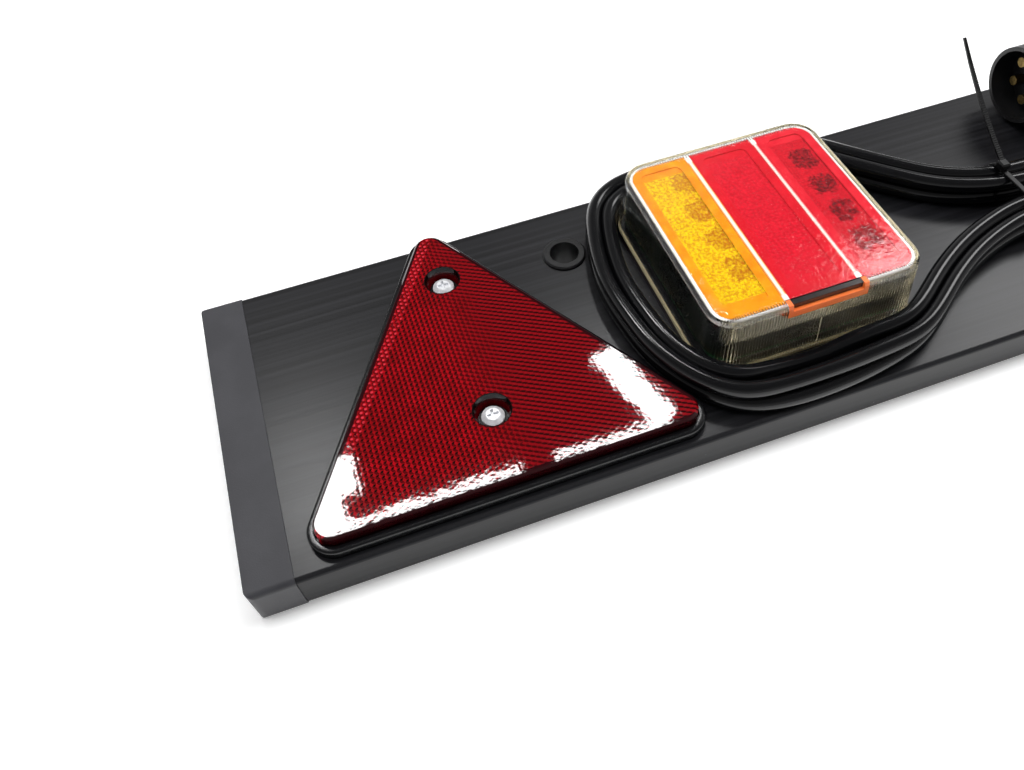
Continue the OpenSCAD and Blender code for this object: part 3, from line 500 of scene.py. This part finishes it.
class Look:
    """One material, with short calls for its nodes. Lengths in it are millimetres of the row frame."""

    def __init__(self, name, **sockets):
        self.material = bpy.data.materials.new(name)
        self.material.use_nodes = True
        self.tree = self.material.node_tree
        self.shader = self.tree.nodes["Principled BSDF"]
        for key, value in sockets.items():
            self.shader.inputs[socket_name(key)].default_value = value
        coords = self.tree.nodes.new("ShaderNodeTexCoord")
        scale = self.node("VectorMath", operation="SCALE")
        self.tree.links.new(coords.outputs["Object"], scale.inputs[0])
        scale.inputs["Scale"].default_value = 1000
        self.place = scale.outputs[0]
        split = self.node("SeparateXYZ")
        self.tree.links.new(self.place, split.inputs[0])
        self.x, self.y, self.z = (Value(self, s) for s in split.outputs)

    def node(self, kind, **settings):
        node = self.tree.nodes.new("ShaderNode" + kind)
        for key, value in settings.items():
            setattr(node, key, value)
        return node

    def feed(self, socket, value):
        if isinstance(value, Value):
            value = value.socket
        if isinstance(value, bpy.types.NodeSocket):
            self.tree.links.new(value, socket)
        else:
            socket.default_value = value

    def math(self, operation, a, b=0):
        node = self.node("Math", operation=operation)
        self.feed(node.inputs[0], a)
        self.feed(node.inputs[1], b)
        return Value(self, node.outputs[0])

    def turned(self, a, b):
        """Angle of a point (a, b), in radians."""
        return self.math("ARCTAN2", b, a)

    def at(self, x, y, z):
        node = self.node("CombineXYZ")
        for socket, value in zip(node.inputs, (x, y, z)):
            self.feed(socket, value)
        return node.outputs[0]

    def noise(self, scale, detail=3, rough=0.55, place=None):
        node = self.node("TexNoise")
        self.feed(node.inputs["Vector"], place or self.place)
        node.inputs["Scale"].default_value = scale
        node.inputs["Detail"].default_value = detail
        node.inputs["Roughness"].default_value = rough
        return Value(self, node.outputs["Fac"])

    def specks(self, spacing, size, share):
        """1 in small dots, which a share of the cells of this spacing holds."""
        node = self.node("TexVoronoi", feature="F1")
        self.feed(node.inputs["Vector"], self.place)
        node.inputs["Scale"].default_value = 1 / spacing
        chance = self.node("SeparateColor")
        self.tree.links.new(node.outputs["Color"], chance.inputs[0])
        here = Value(self, chance.outputs[0]).under(share)
        return Value(self, node.outputs["Distance"]).under(size / spacing) * here

    def blend(self, share, a, b):
        """Colour between a and b."""
        node = self.node("Mix", data_type="RGBA")
        self.feed(node.inputs[0], share)
        self.feed(node.inputs[6], a)
        self.feed(node.inputs[7], b)
        return node.outputs[2]

    def bump(self, height):
        """Normal from a height in millimetres."""
        node = self.node("Bump")
        node.inputs["Distance"].default_value = MM
        node.inputs["Strength"].default_value = 1
        self.feed(node.inputs["Height"], height)
        return node.outputs["Normal"]

    def use(self, **made):
        """Feeds the shader's sockets and gives the material."""
        for key, value in made.items():
            self.feed(self.shader.inputs[socket_name(key)], value)
        return self.material


WEAR = 0.06              # how far a plastic's roughness changes over it


def plastic(name, dark, light, spacing, depth, roughness):
    """Moulded plastic: grain of a spacing and depth, and a slow change of colour and gloss."""
    look = Look(name)
    slow = look.noise(0.05, 3)
    fine = look.noise(1 / spacing, 4)
    return look.use(
        base_color=look.blend(slow.step(0.35, 0.7), dark, light),
        roughness=(slow - 0.5) * WEAR + fine * WEAR + roughness,
        normal=look.bump((fine - 0.5) * depth),
    )


def metal(name, colour, dull, roughness, shine=1.0):
    """Plated metal with dull clouds. The shine is how metallic it is."""
    look = Look(name, metallic=shine)
    cloud = look.noise(0.6, 4)
    return look.use(
        base_color=look.blend(cloud.step(0.35, 0.75), colour, dull),
        roughness=cloud * 0.18 + roughness,
        normal=look.bump(look.noise(3, 3) * 0.02),
    )


WEB_PITCH = 24.333
STREAK_W = 2.5
BOARD_FACE_FROM = 20                         # height above which only the board's face lies


def board_look():
    """Satin profile with streaks along its length, faint sink lines over its webs, and dust."""
    look = Look("board")
    along = look.at(look.x * 0.002, look.y, look.z)
    streak = look.noise(1 / STREAK_W, 5, 0.65, along)
    broad = look.noise(0.06, 3, 0.5, along)
    web = ((look.y / WEB_PITCH).part() - 0.5).size()
    on_face = look.z.over(BOARD_FACE_FROM)
    sink = web.step(0.40, 0.5) * on_face
    grain = look.noise(1.5, 2)
    dust = look.specks(9, 0.32, 0.22)
    colour = look.blend(streak.step(0.3, 0.75), srgb(12, 12, 14), srgb(33, 33, 36))
    return look.use(
        base_color=look.blend(dust * 0.35, colour, srgb(150, 150, 155)),
        roughness=broad * 0.05 + streak * 0.05 + 0.245,
        specular_ior_level=on_face * 0.30 + 0.20,
        normal=look.bump(streak * 0.006 + broad * 0.05 - sink * 0.008 + grain * 0.01),
    )


SIDE_AT = 49.07                              # distance of the triangle's sides from its middle
LENS_FACE_FROM = 29.5                        # height above which only the lens's face lies
RECESS_R = 8.5
CELL = 2.45


def cells(look, u, v, pitch):
    """Place inside the nearest cell of a six-sided grid, as two values."""
    row = pitch * math.sqrt(3)
    ax, ay = u.wrap(pitch) - pitch / 2, v.wrap(row) - row / 2
    bx, by = (u + pitch / 2).wrap(pitch) - pitch / 2, (v + row / 2).wrap(row) - row / 2
    near = (ax * ax + ay * ay).under(bx * bx + by * by)
    return bx + near * (ax - bx), by + near * (ay - by)


def reflector_look():
    """Red lens with corner cubes under a smooth face, a plain rim, and dark screw recesses. Light and
    shade are painted into its colour: on the cubes' facets, as bright glint dots by the left side, and
    in the screw recesses.
    """
    look = Look("reflector", coat_weight=1.0, coat_roughness=0.03, coat_ior=1.42,
                specular_ior_level=0.0)
    u = REFLECTOR_X - look.x.size()
    v = look.y - REFLECTOR_Y
    c, s = math.cos(math.radians(30)), 0.5
    left = SIDE_AT - (v * s - u * c)
    side = (v + SIDE_AT).least(SIDE_AT - (u * c + v * s)).least(left)
    gx, gy = cells(look, u * c + v * s, v * c - u * s, CELL)
    h1, h2 = gx * -c - gy * s, gx * c - gy * s
    height = gy.most(h1).most(h2)
    dark_face = height.under(gy + 0.001)
    mid_face = height.under(h1 + 0.001)
    patch = look.noise(0.12, 3)
    spark = look.noise(0.55, 2)
    radius = (gx * gx + gy * gy).root()

    # Painted light and shade: each corner cube's facets get a lit, a half-lit and a shaded colour, with
    # a painted dark spot in the shaded one.
    bright = look.blend(patch.step(0.3, 0.75), srgb(134, 2, 8), srgb(172, 4, 19))
    painted_facet_shading = look.blend(mid_face, bright, srgb(82, 1, 5))
    painted_facet_shading = look.blend(dark_face * radius.step(1.45, 0.7), painted_facet_shading, srgb(10, 0, 0))
    # Painted light and shade on the right part: rows of light and dark stripes across the cells.
    stripe = ((u * s + v * c) * (2 * math.pi / (CELL * c))).sine()
    painted_stripe_shading = look.blend(stripe.step(-0.6, 0.7), srgb(46, 0, 2), srgb(128, 5, 15))
    painted_stripe_shading = look.blend(dark_face * 0.3, painted_stripe_shading, srgb(158, 6, 20))
    colour = look.blend((u + patch * 30).step(2, 34), painted_facet_shading, painted_stripe_shading)
    # Painted glints: bright dots in a band by the left side, in a share of the cells.
    dots = left.step(1.8, 2.6) * left.step(7, 6) * radius.step(0.9, 0.35)
    colour = look.blend(dots * spark.step(0.3, 0.5), colour, srgb(212, 46, 60))
    colour = look.blend(side.step(2.6, 1.8), colour, srgb(40, 1, 5))
    recess = None
    for screw_y in SCREW_YS:
        away = (u * u + (v - screw_y) * (v - screw_y)).root()
        here = away.step(RECESS_R, RECESS_R - 0.2)
        recess = here if recess is None else recess.most(here)
    # Painted light and shade in the screw recesses: red light on their floors, near-black shade up
    # their walls.
    recess_light_and_shade = look.blend(look.z.step(25, 28.5), srgb(96, 4, 12), srgb(12, 8, 8))
    colour = look.blend(recess, colour, recess_light_and_shade)
    face = side.over(2) * look.z.over(LENS_FACE_FROM)
    return look.use(
        base_color=colour,
        roughness=spark * 0.1 + 0.35,
        normal=look.bump(height * face * 0.25),
        coat_normal=look.bump(height * face * 0.0018 + patch * 0.03),
    )


FILTER_HALF_D = 43.9


def filter_look(name, middle, half_w, flat, panel, dark, leds, led_size, pitch, depth):
    """Coloured filter: a flat border, and a panel of small square prisms before the LED pockets.

    The flat border and the panel have two colours each. The pockets lie at the places in leds,
    have the half sizes led_size and darken the panel by depth: painted shade of the LED bowls behind
    the filter. The prisms have the given pitch.
    """
    look = Look(name, specular_ior_level=0.05)
    x = LAMP_X - look.x.size()
    y = look.y - LAMP_Y
    inside = ((x - middle).size() - half_w).most(y.size() - FILTER_HALF_D)
    panel_here = inside.step(-3.9, -4.6)
    px = ((x / pitch).part() - 0.5).size()
    py = ((y / pitch).part() - 0.5).size()
    grid = px.most(py).step(0.28, 0.5)
    cloud = look.noise(0.14, 3)
    ripple = look.noise(0.8, 5, 0.7)
    warp = look.noise(0.2, 4, 0.7)
    colour = look.blend(ripple.step(0.36, 0.62), panel[0], panel[1])
    colour = look.blend(grid * 0.18, colour, dark)
    # Painted shade: the LED bowls behind the filter, as dark ragged pockets on the panel.
    painted_pocket_shade = None
    for led_x, led_y in leds:
        away = ((x - led_x) / led_size[0]).size().power(3) + ((y - led_y) / led_size[1]).size().power(3)
        here = (away + warp * 6 - 3).step(1.8, 0.4)
        painted_pocket_shade = here if painted_pocket_shade is None else painted_pocket_shade.most(here)
    if painted_pocket_shade is not None:
        facets = ripple.step(0.58, 0.40) * 0.45 + 0.55
        colour = look.blend(painted_pocket_shade * facets * depth, colour, dark)
    colour = look.blend(panel_here, look.blend(cloud.step(0.3, 0.8), flat[0], flat[1]), colour)
    return look.use(
        base_color=colour,
        roughness=cloud * 0.1 + 0.5,
        normal=look.bump(px.most(py) * panel_here * -0.5),
    )


def seal_look():
    """Cream strip, bright at its outer edge, with shade painted dark where the shell stands on it."""
    look = Look("seal")
    x = ((LAMP_X - look.x.size()).size() - CORNER_X).most(0)
    y = ((look.y - LAMP_Y).size() - CORNER_Y).most(0)
    edge = (x * x + y * y).root() - (LAMP_CORNER + LAMP_FLARE)
    cloud = look.noise(0.9, 4)
    cream = look.blend(cloud.step(0.3, 0.7), srgb(236, 218, 170), srgb(250, 238, 204))
    # Painted shade: near black where the shell stands on the strip, cream only at its outer edge.
    return look.use(base_color=look.blend(edge.step(-1.8, -1.3), srgb(20, 18, 15), cream),
                    roughness=cloud * 0.1 + 0.32, normal=look.bump(cloud * 0.05))


# Bars between the filters: place across the lamp, the filters' tint beside it, and its own colour.
BARS = (
    (-15.5, srgb(250, 150, 50), srgb(255, 240, 218)),
    (17.8, srgb(236, 40, 58), srgb(255, 206, 190)),
)
BAR_HALF_W = 1.45
BEAD_PITCH = 1.5


def frame_look():
    """Pale frame, with a thin row of beads on each bar and the filters' tint beside the row."""
    look = Look("lamp_frame")
    x = LAMP_X - look.x.size()
    y = (look.y - LAMP_Y).size()
    cloud = look.noise(0.5, 4)
    bead = ((y / BEAD_PITCH).part() - 0.5).size().step(0.42, 0.3)
    colour = look.blend(cloud.step(0.3, 0.7), srgb(240, 232, 226), srgb(250, 246, 242))
    for bar_x, tint, light in BARS:
        away = (x - bar_x).size()
        bar = look.blend(away.step(0.45, 0.95), light, tint)
        bar = look.blend(bead * away.step(0.8, 0.4) * 0.6, bar, srgb(255, 250, 246))
        colour = look.blend(away.under(BAR_HALF_W) * y.under(FILTER_HALF_D), colour, bar)
    return look.use(base_color=colour, roughness=cloud * 0.08 + 0.26, normal=look.bump(cloud * 0.02))


FLUTE_PITCH = 1.3


def shell_look():
    """Clear acrylic, fluted on the sides along the board, with a foot that takes the seal's cream.

    Lamp light passes straight through.
    """
    look = Look("lamp_shell", transmission_weight=1.0, ior=1.49)
    x = LAMP_X - look.x.size()
    y = look.y - LAMP_Y
    beyond_x, beyond_y = x.size() - CORNER_X, y.size() - CORNER_Y
    round_corner = look.turned(beyond_y.most(0.01), beyond_x.most(0)) * LAMP_CORNER
    along = x.size().least(CORNER_X) + round_corner
    high = look.z.step(FACE + 20, FACE + 27) * 0.8 + 0.2
    on_side = beyond_y.step(6, 11) * look.z.step(FACE + 33.2, FACE + 31.8) * high
    flute = (along * (2 * math.pi / FLUTE_PITCH)).sine() * on_side
    smear = look.noise(0.25, 3, 0.6, look.at(look.x, look.y, look.z * 0.25))
    haze = look.noise(0.1, 4)
    normal = look.bump(flute * 0.45 + smear * 0.12)
    at_edge = (x.size() - LAMP_W / 2 + SHELL_EDGE).most(y.size() - LAMP_D / 2 + SHELL_EDGE)
    rim = look.z.step(FACE + 31, FACE + 32.5) * at_edge.step(0, 0.8)
    foot = look.z.step(FACE + 6, FACE + 5.6)
    clear_colour = look.blend(haze.step(0.4, 0.8), (0.95, 0.97, 0.96, 1), (0.99, 0.99, 0.99, 1))
    look.use(
        base_color=look.blend(foot, clear_colour, srgb(244, 228, 184)),
        roughness=haze * 0.05 + rim * 0.4 + foot * 0.3 + 0.01,
        transmission_weight=1 - foot * 0.9,
        normal=normal,
    )
    clear = look.node("BsdfTransparent")
    clear.inputs["Color"].default_value = (0.98, 0.98, 0.98, 1)
    path = look.node("LightPath")
    shadow_ray = Value(look, path.outputs["Is Shadow Ray"])
    lets_by = shadow_ray.most(Value(look, path.outputs["Is Diffuse Ray"]))
    mix = look.node("MixShader")
    look.feed(mix.inputs[0], lets_by)
    look.tree.links.new(look.shader.outputs[0], mix.inputs[1])
    look.tree.links.new(clear.outputs[0], mix.inputs[2])
    look.tree.links.new(mix.outputs[0], look.tree.nodes["Material Output"].inputs["Surface"])
    return look.material


def cable_look():
    """Black cable sheath: satin, slightly uneven, with faint scuffs."""
    look = Look("cable")
    slow = look.noise(0.05, 3)
    fine = look.noise(1.8, 4)
    scuff = look.noise(0.35, 5, 0.7).step(0.6, 0.78)
    return look.use(
        base_color=look.blend(scuff * 0.4, srgb(9, 9, 11), srgb(26, 26, 30)),
        roughness=slow * 0.1 + scuff * 0.1 + 0.12,
        normal=look.bump(slow * 0.06 + fine * 0.004),
    )


def led_board_look():
    """Green circuit board with tracks and pads."""
    look = Look("led_board", coat_weight=0.3)
    line = ((look.y / 3.1).part() - 0.5).size().step(0.34, 0.38)
    pads = look.specks(6, 1.1, 0.5)
    colour = look.blend(line * 0.6, srgb(28, 84, 50), srgb(60, 130, 84))
    return look.use(base_color=look.blend(pads, colour, srgb(190, 190, 180)),
                    roughness=line * 0.1 + 0.35)


AMBER_LEDS = [(-24.5, y) for y in (32.5, 14, -5, -23)]
STOP_LEDS = [(33.5, y) for y in (27, 8.5, -9.5, -27.5)]
LOOKS = {
    "board": board_look(),
    "end_cap": plastic("end_cap", srgb(51, 51, 55), srgb(58, 58, 62), 0.7, 0.07, 0.44),
    "bush": plastic("bush", srgb(16, 16, 17), srgb(24, 24, 25), 0.8, 0.03, 0.30),
    "tray": plastic("tray", srgb(9, 9, 11), srgb(14, 14, 16), 1.2, 0.012, 0.2),
    "reflector": reflector_look(),
    "screw": metal("screw", srgb(246, 247, 250), srgb(226, 228, 232), 0.24, 0.45),
    "lamp_base": plastic("lamp_base", srgb(14, 14, 15), srgb(22, 22, 23), 0.8, 0.04, 0.34),
    "seal": seal_look(),
    "lamp_shell": shell_look(),
    "lamp_frame": frame_look(),
    "amber_filter": filter_look(
        "amber_filter", -31.15, 14.25, (srgb(244, 140, 2), srgb(255, 168, 14)),
        (srgb(226, 146, 2), srgb(255, 222, 2)), srgb(190, 96, 2), AMBER_LEDS, (5.4, 6.4), 1.7, 0.8),
    "reflex_filter": filter_look(
        "reflex_filter", 1.25, 15.35, (srgb(214, 6, 30), srgb(230, 18, 40)),
        (srgb(204, 2, 28), srgb(236, 20, 46)), srgb(140, 0, 14), [], (1, 1), 1.9, 0),
    "stop_filter": filter_look(
        "stop_filter", 32.2, 13.2, (srgb(222, 14, 38), srgb(238, 40, 56)),
        (srgb(196, 2, 26), srgb(230, 16, 40)), srgb(70, 0, 4), STOP_LEDS, (5.6, 6.0), 1.7, 0.9),
    "lamp_reflector": plastic("lamp_reflector", srgb(8, 10, 8), srgb(16, 20, 15), 0.8, 0.02, 0.25),
    "led_board": led_board_look(),
    "led": plastic("led", srgb(228, 222, 190), srgb(244, 240, 214), 0.5, 0.02, 0.25),
    "plate_frame": plastic("plate_frame", srgb(244, 104, 40), srgb(255, 132, 66), 0.9, 0.03, 0.30),
    "plate_pane": plastic("plate_pane", srgb(34, 30, 30), srgb(52, 46, 46), 1.2, 0.02, 0.14),
    "bolt": metal("bolt", srgb(204, 206, 208), srgb(160, 162, 162), 0.25),
    "grommet": plastic("grommet", srgb(16, 16, 16), srgb(26, 26, 26), 0.5, 0.03, 0.5),
    "loom": plastic("loom", srgb(18, 18, 20), srgb(30, 30, 32), 0.6, 0.02, 0.35),
    "gland": plastic("gland", srgb(16, 16, 17), srgb(28, 28, 29), 0.7, 0.05, 0.36),
    "cable": cable_look(),
    "tie": plastic("tie", srgb(8, 8, 9), srgb(14, 14, 15), 1.5, 0.01, 0.34),
    "plug": plastic("plug", srgb(18, 18, 19), srgb(28, 28, 30), 0.5, 0.08, 0.42),
    "plug_insert": plastic("plug_insert", srgb(24, 24, 26), srgb(34, 34, 36), 0.6, 0.02, 0.38),
    "pin": metal("pin", srgb(150, 128, 80), srgb(110, 92, 56), 0.3),
}
# Nodes whose look has another name than they have.
NODE_LOOKS = {
    "board_extrusion": "board", "mount_bush": "bush", "reflector_tray": "tray",
    "reflector_lens": "reflector", "reflector_screws": "screw", "lamp_seal": "seal", "leds": "led",
    "lamp_bolts": "bolt", "lamp_nuts": "bolt", "lamp_grommets": "grommet", "inner_loom": "loom",
    "cable_gland": "gland", "supply_cable": "cable", "cable_hank": "cable", "plug_lead": "cable",
    "cable_tie": "tie", "plug_body": "plug", "plug_nut": "plug", "plug_pins": "pin",
}


def dress_nodes():
    """Gives each CAD node its look. Left and right pieces share one."""
    for name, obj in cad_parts.items():
        stem = name.replace("_left", "").replace("_right", "")
        look = LOOKS[NODE_LOOKS.get(stem, stem)]
        if not obj.material_slots:
            obj.data.materials.append(look)
        for slot in obj.material_slots:
            slot.material = look


# Stage

def make_world():
    """Soft light on the object, pale at the horizon and darker overhead. The camera sees it white."""
    world = bpy.data.worlds.new("world")
    bpy.context.scene.world = world
    world.use_nodes = True
    nodes, links = world.node_tree.nodes, world.node_tree.links
    sky = nodes["Background"]
    sky.inputs["Color"].default_value = (1, 1, 1, 1)
    split = nodes.new("ShaderNodeSeparateXYZ")
    links.new(nodes.new("ShaderNodeTexCoord").outputs["Generated"], split.inputs[0])
    ramp = nodes.new("ShaderNodeMapRange")
    ramp.interpolation_type = "SMOOTHSTEP"
    links.new(split.outputs["Z"], ramp.inputs["Value"])
    for key, value in (("From Min", 0.05), ("From Max", 0.75), ("To Min", 0.55), ("To Max", 0.12)):
        ramp.inputs[key].default_value = value
    most = nodes.new("ShaderNodeMath")
    most.operation = "MAXIMUM"
    links.new(ramp.outputs["Result"], most.inputs[0])
    links.new(nodes.new("ShaderNodeLightPath").outputs["Is Camera Ray"], most.inputs[1])
    links.new(most.outputs[0], sky.inputs["Strength"])


def make_floor():
    """Pale floor that shows white and keeps the object's shadow. Far from the object it glows more."""
    reach, low = 6000, -0.05
    near_from, far_from, near_glow, far_glow = 650, 1200, 0.27, 1
    corners = [(-reach, -reach, low), (reach, -reach, low), (reach, reach, low), (-reach, reach, low)]
    floor = mesh_object("floor", corners, [(0, 1, 2, 3)])
    look = Look("floor", roughness=0.9, specular_ior_level=0.0)
    look.shader.inputs["Base Color"].default_value = (0.9, 0.9, 0.9, 1)
    path = look.node("LightPath")
    look.shader.inputs["Emission Color"].default_value = (1, 1, 1, 1)
    seen = Value(look, path.outputs["Is Camera Ray"]).most(Value(look, path.outputs["Is Glossy Ray"]))
    seen = seen.most(Value(look, path.outputs["Is Transmission Ray"]))
    away = (look.x * look.x + look.y * look.y).root()
    glow = away.step(near_from, far_from) * (far_glow - near_glow) + near_glow
    look.feed(look.shader.inputs["Emission Strength"], seen * glow)
    floor.data.materials.append(look.material)


LAMP_Z = 1.24
WINDOW = 40              # brightness of the lamps that show as glares


def make_lamp(name, x0, x1, y0, y1, radiance, turn=0, in_reflections=True):
    """Level lamp that faces down; the radiance is the brightness of its face."""
    data = bpy.data.lights.new(name, "AREA")
    data.shape = "RECTANGLE"
    data.size, data.size_y = x1 - x0, y1 - y0
    data.energy = radiance * math.pi * data.size * data.size_y
    obj = bpy.data.objects.new(name, data)
    obj.location = ((x0 + x1) / 2, (y0 + y1) / 2, LAMP_Z)
    obj.rotation_euler.z = math.radians(turn)
    obj.visible_camera = False
    obj.visible_glossy = in_reflections
    bpy.context.collection.objects.link(obj)


make_camera()

route = eased(cable_points())
cable = smooth_curve("cable", route, LANE, 5, 2)
cable.data.materials.append(LOOKS["cable"])
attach(cable, "root")
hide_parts("supply_cable", "cable_hank", "plug_lead")

tie = make_tie()
tie.data.materials.append(LOOKS["tie"])
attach(tie, "root")
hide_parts("cable_tie")

for side, end in ((-1, "left"), (1, "right")):
    shell = make_shell("clear_shell_" + end, side)
    shell.data.materials.clear()
    shell.data.materials.append(LOOKS["lamp_shell"])
    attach(shell, "root")
    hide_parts("lamp_shell_" + end)

    tray = make_tray("soft_tray_" + end, side)
    tray.data.materials.append(LOOKS["tray"])
    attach(tray, "root")
    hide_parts("reflector_tray_" + end)

round(curve_length(route) * MM, 2)

dress_nodes()
bpy.context.scene.view_settings.view_transform = "Standard"
make_world()
make_floor()
make_lamp("window_left", -0.80, -0.664, 0.675, 0.77, WINDOW)
make_lamp("window_left_low", -0.80, -0.70, 0.60, 0.675, WINDOW)
make_lamp("window_edge_left", -0.70, -0.35, 0.603, 0.623, WINDOW)
make_lamp("window_edge_right", -0.28, -0.02, 0.603, 0.619, WINDOW)
make_lamp("window_right", -0.095, -0.033, 0.612, 0.828, WINDOW, turn=16)
make_lamp("wall", 0.50, 1.25, 0.38, 0.84, 6)
make_lamp("soft_top", -1.30, 1.30, -0.10, 0.32, 6.4, in_reflections=False)
